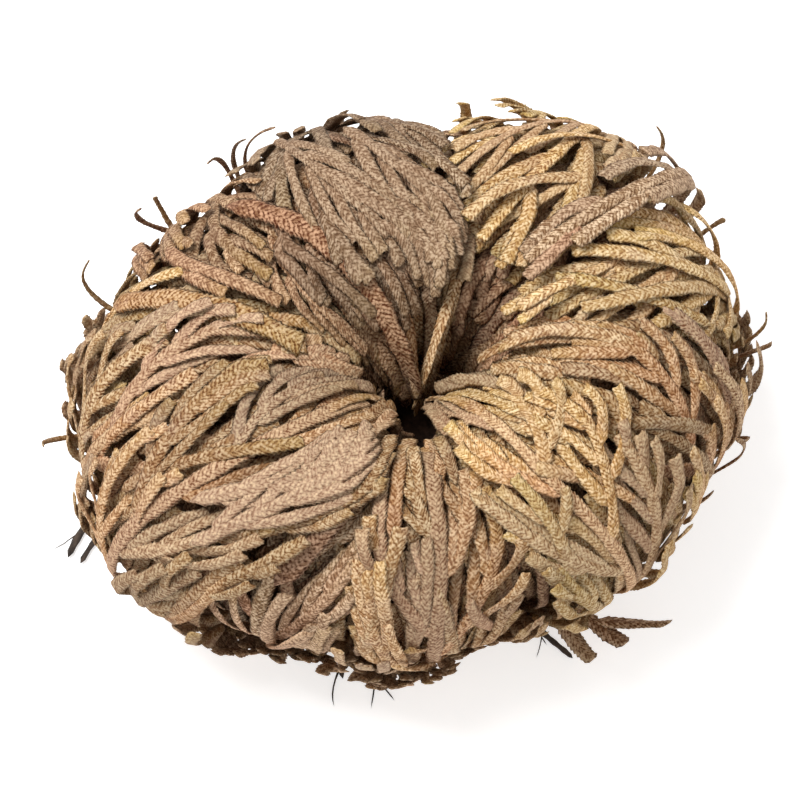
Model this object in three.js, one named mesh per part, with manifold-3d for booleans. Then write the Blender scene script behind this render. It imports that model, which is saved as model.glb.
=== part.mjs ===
// A dried rose of Jericho (resurrection plant): a clubmoss whose leafy fronds have curled up into a ball
// about 95 mm across, open in the middle like a bird's nest. Units are millimetres, +Z is up.
// The origin is the middle of the flat underside of the root mat, on the plant's own axis.
//
// A short woody rootstock stands on a mat of thin roots. Fronds leave it all round, run outwards under the
// ball, turn up round its side and curl in over the top towards the hollow. Each frond keeps to its own
// shell of one nest of C-shaped shells, so fronds overlap like tiles and never meet:
//   outer fronds  old and grey, short, round the foot and the side
//   main fronds   the broad sprays that make the side and the top
//   inner fronds  behind the main ones, seen through the gaps and down in the hollow
//   heart fronds  the small upright ones in the middle
import * as THREE from "three";
import Module from "manifold-3d";
import { mergeVertices } from "three/addons/utils/BufferGeometryUtils.js";

const wasm = await Module();
wasm.setup();

const { PI, abs, cos, sin, sqrt, min, max, hypot } = Math;
const radians = THREE.MathUtils.degToRad;

// ---- The ball, as a nest of C-shaped shells ----
const PLAN_RADIUS = 43.5; // mean radius of the ball seen from above
const PLAN_SHIFT = 4.7; // the ball sits this far off the plant's axis
const PLAN_SHIFT_AT = radians(102);
const PLAN_OVAL = 5.1; // longer one way, shorter the other
const PLAN_OVAL_AT = radians(21);
const PLAN_CORNER = 1.1; // and a little three-cornered
const PLAN_CORNER_AT = radians(43);
const CORE_SHARE = 0.48; // where the curl's centre lies between axis and outline
const HALF_HEIGHT = 26;
const FLOOR_GAP = 2.4; // height of the outermost shell above the surface, where the roots lie
const EYE_RADIUS = 2; // radius of the hollow at the outermost shell
const LOBES = 7; // the soft swellings round the ball
const LOBE_HEIGHT = 0.5;
const LOBE_AT = radians(60);
const SWELL = 4.2; // above the outer fronds the others swell out by this much

// ---- Fronds ----
const SHELL_STEP = 1.92; // from one shell to the next
const CROWN_RADIUS = 8.5; // rootstock, where the stems leave it
const CROWN_TOP = 18;
const HEART_RADIUS = 5.1; // the ring of heart fronds
const HEART_BOW = 1.6;
const ROOT_TOP = 1.6; // the root mat is this thick
const SEAT_GAP = 0.3; // between a stem's foot and the rootstock
const STEM_HALF = 0.72; // half the width of a bare stem
const SPRIG_HALF = 1.2; // half the width of a leafy sprig
const SPRIG_INNER = 0.34; // a sprig's flat inner face lies this far inside its shell
const SPRIG_OUTER = 0.5; // and the ridge of its outer face this far outside
const SAG = 0.38; // a sprig's straight stretches leave its curve by no more than this
const WANDER = 0.8; // a frond wanders this far to each side of its line
const BLUNT = 1.1; // a sprig keeps its width up to this far from its tip
const SLIMMER = [1, 0.85, 0.75]; // thickness of a stem, of a sprig on it, and of a sprig on that one

function outline(theta) {
  const shifted = PLAN_SHIFT * cos(theta - PLAN_SHIFT_AT);
  const oval = PLAN_OVAL * cos(2 * (theta - PLAN_OVAL_AT));
  return PLAN_RADIUS + shifted + oval + PLAN_CORNER * cos(3 * (theta - PLAN_CORNER_AT));
}

const smooth = (low, high, value) => {
  const t = min(1, max(0, (value - low) / (high - low)));
  return t * t * (3 - 2 * t);
};

// A point of the shell that lies depth inside the outermost one, at azimuth theta.
// turn is the angle curled so far: 0 at the lowest point, PI / 2 at the side, PI at the top; below 0 the
// shell lies flat and runs in to the rootstock.
function shellPoint(theta, turn, depth) {
  const lobe = LOBE_HEIGHT * cos(LOBES * (theta - LOBE_AT)) * smooth(0.4, 1.6, turn);
  const swell = depth > 1.4 * SHELL_STEP ? SWELL * smooth(0.95, 1.6, turn) : 0;
  const inset = depth - lobe - swell;
  const radius = outline(theta);
  const core = CORE_SHARE * radius;
  const outward = radius - core - inset;
  if (turn < 0) return polar(theta, core + outward * turn, FLOOR_GAP + inset);
  const curl = turn - PI / 2;
  const reach = cos(curl) >= 0 ? outward : core - EYE_RADIUS - inset;
  const height = FLOOR_GAP + HALF_HEIGHT + (HALF_HEIGHT - inset) * sin(curl);
  return polar(theta, core + reach * cos(curl), height);
}

const polar = (theta, rho, z) => new THREE.Vector3(rho * cos(theta), rho * sin(theta), z);

// Draws between 0 and 1 that are the same on every run.
function seeded(seed) {
  let state = (seed * 7919 + 14371) % 2147483647;
  return () => {
    state = (state * 16807) % 2147483647;
    return state / 2147483647;
  };
}

// ---- The plan of a frond ----
// Laid flat, a frond is a stem with leafy sprigs to both sides in turn, some of them forked. Each of these
// shoots starts at (x, w), x millimetres along the frond and w to the side of its middle line, and its
// heading turns evenly from head to tail, in radians from the frond's own direction. order is 0 for the
// stem, 1 for a sprig and 2 for a fork, and sink is how far it lies inside the frond's shell.
const along = (shoot, u) => ({
  x: shoot.x + shoot.length * u * cos((shoot.head + shoot.tail) / 2),
  w: shoot.w + shoot.length * (shoot.head * u + ((shoot.tail - shoot.head) * u * u) / 2),
  heading: shoot.head + (shoot.tail - shoot.head) * u,
});

// A shoot that leaves another one, u of the way along it, and bends back towards its direction.
function branch(parent, u, side, open, length, sink) {
  const root = along(parent, u);
  const head = root.heading + side * open * 1.3;
  const tail = root.heading + side * open * 0.5;
  return { order: parent.order + 1, x: root.x, w: root.w, length, head, tail, sink };
}

function frondPlan(frond) {
  const draw = seeded(frond.seed);
  const stem = { order: 0, x: 0, w: 0, length: frond.length, head: -frond.sweep, tail: frond.sweep, sink: 0 };
  const shoots = [stem];
  const leafy = frond.length * 0.97 - frond.bare;
  const count = Math.round(leafy / frond.pitch);
  for (let j = 0; j < count; j++) {
    const side = j % 2 ? 1 : -1;
    const from = frond.bare + (leafy * (j + 0.5 * draw())) / count;
    const room = min(frond.sprigLength, (frond.length - from) * 0.8 + 5);
    const sprig = branch(
      stem,
      from / frond.length,
      side,
      0.46 + 0.14 * draw(),
      room * (0.8 + 0.35 * draw()),
      0.08 + 0.1 * draw(),
    );
    shoots.push(sprig);
    if (frond.forked && j % 4 < 2) {
      const length = (5 + 4 * draw()) * min(1, 0.4 + sprig.length / 30);
      shoots.push(branch(sprig, 0.5 + 0.14 * draw(), side, 0.36 + 0.14 * draw(), length, sprig.sink + 0.1));
    }
  }
  return shoots;
}

// ---- From the plan to the ball ----
// Where a point of a frond's plan lies in the ball. A frond keeps inside its own edges: sprigs that reach
// them bend round to run along them, and towards the rootstock and the hollow all are squeezed together.
function place(frond, x, w, sink) {
  const turn = frond.start + x / frond.scale;
  if (frond.upright) return heartPoint(frond, x, w, sink);
  const here = shellPoint(frond.azimuth, turn, frond.depth);
  const rho = hypot(here.x, here.y);
  const squeeze = min(1, (frond.spread * rho) / frond.halfWidth);
  const bent = w + WANDER * sin(x / 8 + frond.seed);
  const kept = bent / (1 + abs(bent / frond.halfWidth) ** 3) ** (1 / 3);
  const lift = frond.flare * smooth(0.25, 1, turn);
  return shellPoint(frond.azimuth + (kept * squeeze) / rho, turn, frond.depth + sink - lift);
}

// The heart fronds stand in a ring on the rootstock's dome and lean back in at their tips.
function heartPoint(frond, x, w, sink) {
  const rho = HEART_RADIUS + HEART_BOW * sin((1.08 * PI * x) / frond.length) - sink;
  return polar(frond.azimuth + w / HEART_RADIUS, rho, CROWN_TOP + SEAT_GAP + x);
}

// One shoot: a spindle of three edges stretched along its line, flat inside and ridged outside. It starts as
// a point within the shoot that it grows from, and keeps its width up to its blunt tip. A stem has its full
// width at the foot too.
function shootSolid(frond, shoot) {
  const stretch = sqrt(8 * SAG * frond.scale);
  const foot = shoot.order ? 0 : 1;
  const rings = 1 + foot + max(2, Math.ceil((shoot.length - BLUNT) / stretch));
  const spindle = new THREE.SphereGeometry(1, 3, rings);
  const { position, uv } = spindle.attributes;
  for (let i = 0; i < position.count; i++) {
    const ring = Math.round((1 - uv.getY(i)) * rings);
    const edge = Math.round(uv.getX(i) * 3) % 3;
    const even = max(ring - foot, 0.06 * ring) / (rings - 1 - foot);
    const u = ring === rings ? 1 : even * (1 - BLUNT / shoot.length);
    const { middle, across, normal } = sectionAt(frond, shoot, u);
    if (ring > 0 && ring < rings) {
      const half = halfWidthOf(frond, shoot, u);
      const thick = SLIMMER[shoot.order] * (0.5 + (0.5 * half) / SPRIG_HALF);
      middle.addScaledVector(across, [half, 0, -half][edge]);
      middle.addScaledVector(normal, thick * [-SPRIG_INNER, SPRIG_OUTER, -SPRIG_INNER][edge]);
    }
    position.setXYZ(i, middle.x, middle.y, middle.z);
  }
  return solidFrom(spindle);
}

// The middle of a shoot's section, with the directions across it and out of its shell.
function sectionAt(frond, shoot, u) {
  const at = (v, aside = 0) => {
    const p = along(shoot, v);
    return place(frond, p.x, p.w + aside, shoot.sink);
  };
  const ahead = at(min(1, u + 0.02)).sub(at(max(0, u - 0.02))).normalize();
  const across = at(u, 0.3).sub(at(u, -0.3)).projectOnPlane(ahead).normalize();
  return { middle: at(u), across, normal: across.clone().cross(ahead) };
}

// A leafy sprig has one width; a stem is narrower where it is bare.
function halfWidthOf(frond, shoot, u) {
  const leafy = shoot.order ? 1 : smooth(frond.bare * 0.6, frond.bare * 1.3, u * shoot.length);
  return STEM_HALF + (SPRIG_HALF - STEM_HALF) * leafy;
}

// A three.js geometry as a solid to join.
function solidFrom(geometry) {
  geometry.deleteAttribute("normal");
  geometry.deleteAttribute("uv");
  const merged = mergeVertices(geometry, 1e-4);
  const vertProperties = new Float32Array(merged.attributes.position.array);
  const triVerts = new Uint32Array(merged.index.array);
  return new wasm.Manifold(new wasm.Mesh({ numProp: 3, vertProperties, triVerts }));
}

// Joins solids into one body: a hollow sealed between crossing shoots is filled, a loose scrap is dropped.
const joined = (solids) =>
  solids
    .reduce((whole, solid) => whole.add(solid))
    .decompose()
    .reduce((main, body) => (body.volume() > main.volume() ? body : main));

function meshOf(name, solid, material) {
  const { vertProperties, triVerts, numProp, numVert } = solid.getMesh();
  const position = new Float32Array(numVert * 3);
  for (let i = 0; i < numVert; i++) {
    position.set(vertProperties.subarray(i * numProp, i * numProp + 3), i * 3);
  }
  const geometry = new THREE.BufferGeometry();
  geometry.setAttribute("position", new THREE.BufferAttribute(position, 3));
  geometry.setIndex(new THREE.BufferAttribute(triVerts, 1));
  geometry.computeVertexNormals();
  const mesh = new THREE.Mesh(geometry, material);
  mesh.name = name;
  return mesh;
}

const dry = (color) => new THREE.MeshStandardMaterial({ color, roughness: 0.85, metalness: 0 });
const MATERIALS = {
  grey: dry(0x7d6c5c),
  tan: dry(0xab8d66),
  straw: dry(0xbfa067),
  russet: dry(0x946b4f),
  wood: dry(0x5b4636),
  root: dry(0x3d332b),
};

// ---- The four kinds of frond ----
// shell counts inwards from the outermost; reach is how far the tip has curled, in degrees: 90 is the side,
// 180 the top, 270 straight down in the hollow; spread is the most that it opens to each side of its azimuth.
const KINDS = {
  outer: { pitch: 5.4, sprigLength: 14, bare: 8, halfWidth: 8.5, forked: true },
  main: { pitch: 6.8, sprigLength: 24, bare: 15, halfWidth: 13.5, forked: true },
  inner: { pitch: 12, sprigLength: 20, bare: 18, halfWidth: 11 },
};

function frondOf(kind, index, { azimuth, shell, reach, spread, sweep = 0, flare = 0, material }) {
  const base = KINDS[kind];
  const theta = radians(azimuth);
  const depth = shell * SHELL_STEP;
  const core = CORE_SHARE * outline(theta);
  const outward = outline(theta) - core - depth;
  const start = (CROWN_RADIUS + SEAT_GAP - core) / outward;
  const scale = (outward + HALF_HEIGHT - depth) / 2;
  const halfWidth = min(base.halfWidth, 0.85 * radians(spread) * outline(theta));
  return {
    ...base,
    halfWidth,
    sprigLength: base.sprigLength * (0.3 + (0.7 * halfWidth) / base.halfWidth),
    name: `frond_${kind}_${String(index + 1).padStart(2, "0")}`,
    seed: 100 * Object.keys(KINDS).indexOf(kind) + index + 1,
    azimuth: theta,
    depth,
    start,
    scale,
    length: (radians(reach) - start) * scale,
    spread: radians(spread),
    sweep,
    flare,
    material: MATERIALS[material],
  };
}

const OUTER_FRONDS = 14;
const OUTER_STEP = 360 / OUTER_FRONDS;
const OUTER_FLARE = 3; // at the back their tips stand off
const OUTER_REACH = [66, 56, 72, 52, 64, 58, 66, 56, 58, 52, 54, 58, 50, 56];
const LOOSE_FROND = 12; // this one has come away and lies out flat
const outerFronds = Array.from({ length: OUTER_FRONDS }, (_, i) =>
  frondOf("outer", i, {
    azimuth: 11 + OUTER_STEP * i,
    shell: i % 2,
    reach: OUTER_REACH[i],
    spread: i === LOOSE_FROND ? 10 : 21,
    sweep: [0.05, -0.08, 0.1, 0, -0.05][i % 5],
    flare: i === LOOSE_FROND ? 9 : i % 2 ? 0 : OUTER_FLARE * max(0, sin(radians(OUTER_STEP * i - 5))),
    material: "grey",
  }),
);

// The main fronds, anticlockwise from +X. Two fronds on one shell keep clear of each other's spread.
const mainFronds = [
  { azimuth: 4, shell: 5, reach: 208, spread: 28, sweep: 0.12, material: "tan" },
  { azimuth: 25, shell: 4, reach: 196, spread: 29, sweep: -0.1, material: "straw" },
  { azimuth: 43, shell: 2, reach: 190, spread: 9, sweep: 0.04, material: "grey" },
  { azimuth: 63, shell: 3, reach: 190, spread: 30, sweep: 0.16, material: "straw" },
  { azimuth: 88, shell: 4, reach: 250, spread: 26, sweep: -0.08, material: "tan" },
  { azimuth: 112, shell: 2, reach: 214, spread: 34, sweep: 0.05, material: "grey" },
  { azimuth: 134, shell: 3, reach: 250, spread: 23, sweep: 0, material: "russet" },
  { azimuth: 151, shell: 5, reach: 208, spread: 28, sweep: -0.14, material: "straw" },
  { azimuth: 168, shell: 4, reach: 222, spread: 29, sweep: 0.1, material: "straw" },
  { azimuth: 188, shell: 3, reach: 222, spread: 27, sweep: -0.08, material: "tan" },
  { azimuth: 210, shell: 2, reach: 222, spread: 34, sweep: 0.06, material: "tan" },
  { azimuth: 232, shell: 4, reach: 204, spread: 27, sweep: -0.12, material: "grey" },
  { azimuth: 254, shell: 5, reach: 202, spread: 28, sweep: 0.1, material: "tan" },
  { azimuth: 276, shell: 3, reach: 200, spread: 28, sweep: 0.06, material: "tan" },
  { azimuth: 300, shell: 4, reach: 204, spread: 28, sweep: -0.1, material: "russet" },
  { azimuth: 322, shell: 2, reach: 234, spread: 34, sweep: 0.08, material: "straw" },
  { azimuth: 346, shell: 3, reach: 214, spread: 29, sweep: -0.08, material: "tan" },
].map((frond, i) => frondOf("main", i, frond));

const INNER_FRONDS = 7;
const innerFronds = Array.from({ length: INNER_FRONDS }, (_, i) =>
  frondOf("inner", i, {
    azimuth: -38 + 42 * i,
    shell: 6 + (i % 2),
    reach: 262,
    spread: 38,
    material: "russet",
  }),
);

// The heart fronds are small and plain, with short sprigs.
const HEART_FRONDS = 5;
const heartFronds = Array.from({ length: HEART_FRONDS }, (_, i) => ({
  name: `frond_heart_${String(i + 1).padStart(2, "0")}`,
  seed: 300 + i,
  upright: true,
  azimuth: ((i + 0.5) * 2 * PI) / HEART_FRONDS,
  length: [18, 15, 20][i % 3],
  scale: 12,
  bare: 3,
  pitch: 4.5,
  sprigLength: 6.5,
  halfWidth: 1.4,
  sweep: 0,
  material: MATERIALS.russet,
}));

const frondMesh = (frond) =>
  meshOf(frond.name, joined(frondPlan(frond).map((shoot) => shootSolid(frond, shoot))), frond.material);

// ---- Rootstock and roots ----
// The rootstock: a short woody trunk with a rounded top, ringed by the scars of old fronds.
function rootstockMesh() {
  const foot = ROOT_TOP + SEAT_GAP;
  const sides = [
    [CROWN_RADIUS * 0.97, foot],
    [CROWN_RADIUS, foot + 3],
    [CROWN_RADIUS * 0.96, foot + 8],
    [CROWN_RADIUS, CROWN_TOP - 3],
    [CROWN_RADIUS * 0.82, CROWN_TOP - 1],
    [CROWN_RADIUS * 0.5, CROWN_TOP],
  ];
  const profile = [[0, foot], ...sides, [0, CROWN_TOP]].map(([r, z]) => new THREE.Vector2(r, z));
  const trunk = new THREE.LatheGeometry(profile, 14).rotateX(PI / 2);
  return meshOf("rootstock", solidFrom(trunk), MATERIALS.wood);
}

// A root runs out along the ground from the middle of the mat, tapers, and hooks aside near its end.
const MAT_RADIUS = 11;
const ROOT_HALF = 0.8;
const ROOT_LIE = 0.75; // height of a root's middle line
const ROOT_STRETCH = 14; // longest straight stretch of a root
const longRoots = [
  { azimuth: 170, reach: 50.5, hook: 23, half: 1.1 },
  { azimuth: 186, reach: 49, hook: 8, half: 0.8 },
  { azimuth: 240, reach: 30.8, hook: 2, half: 0.7 },
  { azimuth: 248, reach: 31, hook: 4, half: 0.7 },
  { azimuth: 262, reach: 31, hook: -7, half: 0.7 },
  { azimuth: 312, reach: 34, hook: -4, half: 0.8 },
];
const SHORT_ROOTS = 8;
const drawRoot = seeded(77);
const shortRoots = Array.from({ length: SHORT_ROOTS }, (_, i) => ({
  azimuth: (360 / SHORT_ROOTS) * (i + 0.6 * drawRoot()),
  reach: 15 + 9 * drawRoot(),
  hook: 60 * (drawRoot() - 0.5),
  half: ROOT_HALF,
}));

function rootSolid({ azimuth, reach, hook, half }) {
  const rings = 2 + Math.ceil(reach / ROOT_STRETCH);
  const spindle = new THREE.SphereGeometry(1, 3, rings);
  const { position, uv } = spindle.attributes;
  for (let i = 0; i < position.count; i++) {
    const u = 1 - uv.getY(i);
    const ring = Math.round(u * rings);
    const edge = Math.round(uv.getX(i) * 3) % 3;
    const wide = ring > 0 && ring < rings ? half * (1.1 - 0.5 * u) : 0;
    const theta = radians(azimuth + hook * u ** 5 + 3 * sin(9 * u + azimuth));
    const middle = polar(theta, reach * u, ROOT_LIE);
    const across = new THREE.Vector3(-sin(theta), cos(theta), 0);
    middle.addScaledVector(across, [-wide, 0, wide][edge]);
    middle.z += [-0.45, 0.75, -0.45][edge] * wide;
    position.setXYZ(i, middle.x, middle.y, middle.z);
  }
  return solidFrom(spindle);
}

// The mat: a flat pad of matted roots with the separate ones sunk into it.
function rootMatMesh() {
  const rim = [
    [0, 0],
    [MAT_RADIUS * 0.9, 0],
    [MAT_RADIUS, ROOT_TOP * 0.4],
    [MAT_RADIUS * 0.75, ROOT_TOP],
    [0, ROOT_TOP],
  ].map(([r, z]) => new THREE.Vector2(r, z));
  const pad = solidFrom(new THREE.LatheGeometry(rim, 12).rotateX(PI / 2));
  const roots = [...longRoots, ...shortRoots].map(rootSolid);
  return meshOf("root_mat", joined([pad, ...roots]), MATERIALS.root);
}

const plant = new THREE.Group();
plant.add(rootstockMesh(), rootMatMesh());
plant.add(...[...outerFronds, ...mainFronds, ...innerFronds, ...heartFronds].map(frondMesh));

export default plant;
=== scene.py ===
# %% [markdown]
# # A rose of Jericho, dried and curled up
#
# This plant is a clubmoss that rolls itself into a ball when it dries. The ball is a nest of flat fronds, and
# each frond is a stem with leafy shoots to both sides, like a fern pressed flat and then curled over.
#
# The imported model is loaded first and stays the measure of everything: it has one plain solid for each frond.
# Here each of them is replaced by a frond with real leaves, on the same line and in the same place.

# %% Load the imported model
from types import SimpleNamespace

import bmesh
import bpy
import numpy as np
from mathutils import Matrix, Vector, noise


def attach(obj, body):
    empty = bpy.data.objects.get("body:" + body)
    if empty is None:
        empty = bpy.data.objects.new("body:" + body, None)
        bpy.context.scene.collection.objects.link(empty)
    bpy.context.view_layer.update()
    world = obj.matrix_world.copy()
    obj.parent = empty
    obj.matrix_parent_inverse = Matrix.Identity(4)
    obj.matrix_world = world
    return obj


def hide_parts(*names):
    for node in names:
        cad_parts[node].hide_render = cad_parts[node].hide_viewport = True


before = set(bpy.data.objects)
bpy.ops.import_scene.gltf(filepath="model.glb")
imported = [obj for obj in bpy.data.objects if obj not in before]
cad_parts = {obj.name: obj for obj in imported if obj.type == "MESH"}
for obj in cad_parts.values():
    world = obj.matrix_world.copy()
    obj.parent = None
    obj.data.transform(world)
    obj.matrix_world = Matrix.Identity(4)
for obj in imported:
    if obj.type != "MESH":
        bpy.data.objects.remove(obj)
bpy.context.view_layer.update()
MM = 0.001  # the plant is worked out in millimetres, and the finished vertices are turned into metres

# %% [markdown]
# ## The nest of shells
#
# A curled frond is hard to draw directly in space. It is much easier to draw it flat, as if pressed in a book,
# and to let a formula curl it. All fronds of the ball lie on shells that fit into one another like bowls, and
# the formula below gives a point of such a shell: how far round the ball it is (`theta`), how far it has
# curled over (`turn`: 0 underneath, a quarter turn at the side, half a turn on top), and how deep inside the
# outermost shell it lies (`depth`). These are the same shells, with the same sizes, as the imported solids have.

# %% Sizes of the ball, in millimetres
PLAN_RADIUS = 43.5  # mean radius, seen from above
PLAN_SHIFT, PLAN_SHIFT_AT = 4.7, np.radians(102)  # the ball sits off the plant's axis,
PLAN_OVAL, PLAN_OVAL_AT = 5.1, np.radians(21)  # it is oval,
PLAN_CORNER, PLAN_CORNER_AT = 1.1, np.radians(43)  # and slightly three-cornered
CORE_SHARE = 0.48  # where the curl's centre lies between axis and outline
HALF_HEIGHT = 26  # of the outermost shell
FLOOR_GAP = 2.4  # height of the outermost shell above the ground
EYE_RADIUS = 2  # of the hollow, at the outermost shell
LOBES, LOBE_HEIGHT, LOBE_AT = 7, 0.5, np.radians(60)  # soft waves round the ball
LOBE_TURNS = (0.4, 1.6)  # they grow between these two turns
SWELL, SWELL_TURNS = 4.2, (0.95, 1.6)  # above the outer fronds the others swell out by this much
SHELL_STEP = 1.92  # from one shell to the next
CROWN_RADIUS, CROWN_TOP = 8.5, 18  # rootstock, where the stems leave it
SEAT_GAP = 0.3  # between a stem's foot and the rootstock
ROOT_TOP = 1.6  # of the root mat, under the rootstock


def outline(theta):
    shifted = PLAN_SHIFT * np.cos(theta - PLAN_SHIFT_AT)
    oval = PLAN_OVAL * np.cos(2 * (theta - PLAN_OVAL_AT))
    return PLAN_RADIUS + shifted + oval + PLAN_CORNER * np.cos(3 * (theta - PLAN_CORNER_AT))


def smooth(low, high, value):
    """0 below low, 1 above high, and a soft step in between."""
    t = np.clip((value - low) / (high - low), 0, 1)
    return t * t * (3 - 2 * t)


def polar(theta, rho, z):
    return np.stack(np.broadcast_arrays(rho * np.cos(theta), rho * np.sin(theta), z), -1)


def shell_point(theta, turn, depth, swells):
    lobe = LOBE_HEIGHT * np.cos(LOBES * (theta - LOBE_AT)) * smooth(*LOBE_TURNS, turn)
    swell = SWELL * smooth(*SWELL_TURNS, turn) if swells else 0
    inset = depth - lobe - swell
    radius = outline(theta)
    core = CORE_SHARE * radius
    outward = radius - core - inset
    lean = np.cos(turn - np.pi / 2)
    reach = np.where(lean >= 0, outward, core - EYE_RADIUS - inset)
    height = FLOOR_GAP + HALF_HEIGHT + (HALF_HEIGHT - inset) * np.sin(turn - np.pi / 2)
    curled = polar(theta, core + reach * lean, height)
    flat = polar(theta, core + outward * turn, FLOOR_GAP + inset)
    return np.where((turn < 0)[..., None], flat, curled)


print("outline, mm:", [round(float(outline(np.radians(a))), 1) for a in range(0, 360, 60)])

# %% [markdown]
# ## Chance that repeats
#
# No two shoots are alike, but the script has to give the same plant on every run. So each frond has a small
# generator of its own, started from its own number, and draws from it in a fixed order.

# %% Draws between 0 and 1
MULTIPLIER, MODULUS = 16807, 2147483647  # a new state is the old one times the first, modulo the second
SEED_STEP, SEED_ZERO = 7919, 14371  # these draw apart the seeds of two fronds, which differ by one


def seeded(seed):
    state = (seed * SEED_STEP + SEED_ZERO) % MODULUS

    def draw(low=0.0, high=1.0):
        nonlocal state
        state = state * MULTIPLIER % MODULUS
        return low + (high - low) * state / MODULUS

    return draw


print("first draws:", [round(seeded(n)(), 3) for n in (1, 2, 3)])

# %% [markdown]
# ## A frond pressed flat
#
# Every shoot, be it stem, sprig or twig, is one line that starts at (`x`, `w`), x millimetres along the frond
# and w to the side of its middle, and whose heading turns evenly from `head` to `tail`. `sink` is how far it
# lies under its shell, so that shoots can lie over and under each other like tiles.

# %% Shoots and how they branch
HALF_WIDTHS = (1.12, 1.08, 0.98)  # half the width of a stem, a sprig and a twig
OPEN_AT_FOOT, OPEN_AT_TIP = 1.3, 0.5  # a branch leaves at more than its opening, and bends back to less


def along(shoot, u):
    """Where a shoot has come to at the share u of its length, and its heading there."""
    bend = (shoot.tail - shoot.head) / 2
    x = shoot.x + shoot.length * u * np.cos((shoot.head + shoot.tail) / 2)
    w = shoot.w + shoot.length * (shoot.head * u + bend * u * u)
    return x, w, shoot.head + 2 * bend * u


def branch(parent, u, side, opening, length, sink):
    x, w, heading = along(parent, u)
    head, tail = heading + side * opening * OPEN_AT_FOOT, heading + side * opening * OPEN_AT_TIP
    return SimpleNamespace(order=parent.order + 1, x=x, w=w, length=length, head=head, tail=tail, sink=sink)


bow = SimpleNamespace(x=0, w=0, length=50, head=-0.1, tail=0.1)
print("the middle of a bowed stem lies off its axis by, mm:", along(bow, 0.5)[1])

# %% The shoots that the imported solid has
STEM_SHARE = 0.97  # the last sprig leaves the stem before this share of its length
SPRIG_OPENING = (0.46, 0.6)  # radians between a sprig and its stem
SPRIG_LENGTH = (0.8, 1.15)  # shares of the room that a sprig has
SPRIG_SINK = (0.08, 0.18)
TIP_SHARE, TIP_ROOM = 0.8, 5  # the room ends in a point: this share of the stem that is left, and some more
FORK_LENGTH, FORK_OPENING, FORK_AT = (5, 9), (0.36, 0.5), (0.5, 0.64)
FORK_LEAST, FORK_WHOLE = 0.4, 30  # a short sprig has shorter forks, from this share upwards
FORK_SINK = 0.1  # a fork leaves from this far under its sprig


def main_shoots(frond):
    draw = seeded(frond.seed)
    sweep = frond.sweep
    stem = SimpleNamespace(order=0, x=0, w=0, length=frond.length, head=-sweep, tail=sweep, sink=0)
    shoots = [stem]
    leafy = frond.length * STEM_SHARE - frond.bare
    count = int(leafy / frond.pitch + 0.5)
    for j in range(count):
        side = 1 if j % 2 else -1
        start = frond.bare + leafy * (j + 0.5 * draw()) / count
        room = min(frond.sprig_length, (frond.length - start) * TIP_SHARE + TIP_ROOM)
        opening, length, sink = draw(*SPRIG_OPENING), room * draw(*SPRIG_LENGTH), draw(*SPRIG_SINK)
        sprig = branch(stem, start / frond.length, side, opening, length, sink)
        shoots.append(sprig)
        if frond.forked and j % 4 < 2:
            length = draw(*FORK_LENGTH) * min(1, FORK_LEAST + sprig.length / FORK_WHOLE)
            at, opening = draw(*FORK_AT), draw(*FORK_OPENING)
            shoots.append(branch(sprig, at, side, opening, length, sprig.sink + FORK_SINK))
    return shoots


sample = dict(seed=1, sweep=0, length=60, bare=15, pitch=7, sprig_length=20, forked=True)
print("shoots of a frond 60 mm long:", len(main_shoots(SimpleNamespace(**sample))))

# %% [markdown]
# ## From the flat plan to the ball
#
# `place` curls the plan. Shoots that would leave the frond's own strip bend round and run along its edge, and
# towards the rootstock and the hollow the whole frond is squeezed together. No leafy shoot may rise above a
# roof that keeps the ball to its size. The small fronds in the heart of the plant don't follow the shells.
# They stand upright round the middle and bow out a little.

# %% Curl the plan
ROOF = 2.35  # depth to which the shoots of a frond that swells may rise,
TOP_DIP, TOP_TURNS = 0.3, (1.7, 2.8)  # a little less far on top
RIM_RISE, RIM_TURNS = 4.4, (3.25, 3.8)  # and much further by the hollow
OUTER_ROOF = -0.7  # the same for the outer fronds, which don't swell
STRAY = 2  # a shoot that may reach this far out of its strip may stand off the ball as well
FLARE_TURNS = (0.25, 1)  # between these turns a frond that flares leaves its shell
HUG = 3  # the higher, the later a shoot bends round at the edge of its strip
WANDER, WANDER_WAVE = 0.8, 8  # a frond wanders this far to each side of its line
HEART_RADIUS, HEART_BOW, HEART_ARC = 5.1, 1.6, 1.08 * np.pi


def wander(frond, x):
    return WANDER * np.sin(x / WANDER_WAVE + frond.seed)


def heart_point(frond, x, w, sink):
    rho = HEART_RADIUS + HEART_BOW * np.sin(HEART_ARC * x / frond.length) - sink
    return polar(frond.azimuth + w / HEART_RADIUS, rho, CROWN_TOP + SEAT_GAP + x)


def place(frond, x, w, sink, over=1.0):
    """over: how far to the side the shoot may reach, in half widths of the frond's own strip."""
    if frond.upright:
        return heart_point(frond, x, w, sink)
    turn = frond.start + x / frond.scale
    here = shell_point(frond.azimuth, turn, frond.depth, frond.swells)
    rho = np.hypot(here[..., 0], here[..., 1])
    squeeze = np.minimum(1, frond.spread * rho / frond.half_width)
    bent = w + wander(frond, x)
    kept = bent / (1 + np.abs(bent / (over * frond.half_width)) ** HUG) ** (1 / HUG)
    flare = frond.flare * smooth(*FLARE_TURNS, turn)
    depth = frond.depth + sink - flare
    if not frond.swells:
        depth = np.maximum(depth, OUTER_ROOF - flare)
    elif over < STRAY:
        roof = ROOF + TOP_DIP * smooth(*TOP_TURNS, turn) - RIM_RISE * smooth(*RIM_TURNS, turn)
        depth = np.maximum(depth, roof)
    return shell_point(frond.azimuth + kept * squeeze / rho, turn, depth, frond.swells)


print("roof on top, mm:", round(ROOF + TOP_DIP, 2), "and by the hollow:", round(ROOF + TOP_DIP - RIM_RISE, 2))

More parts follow.
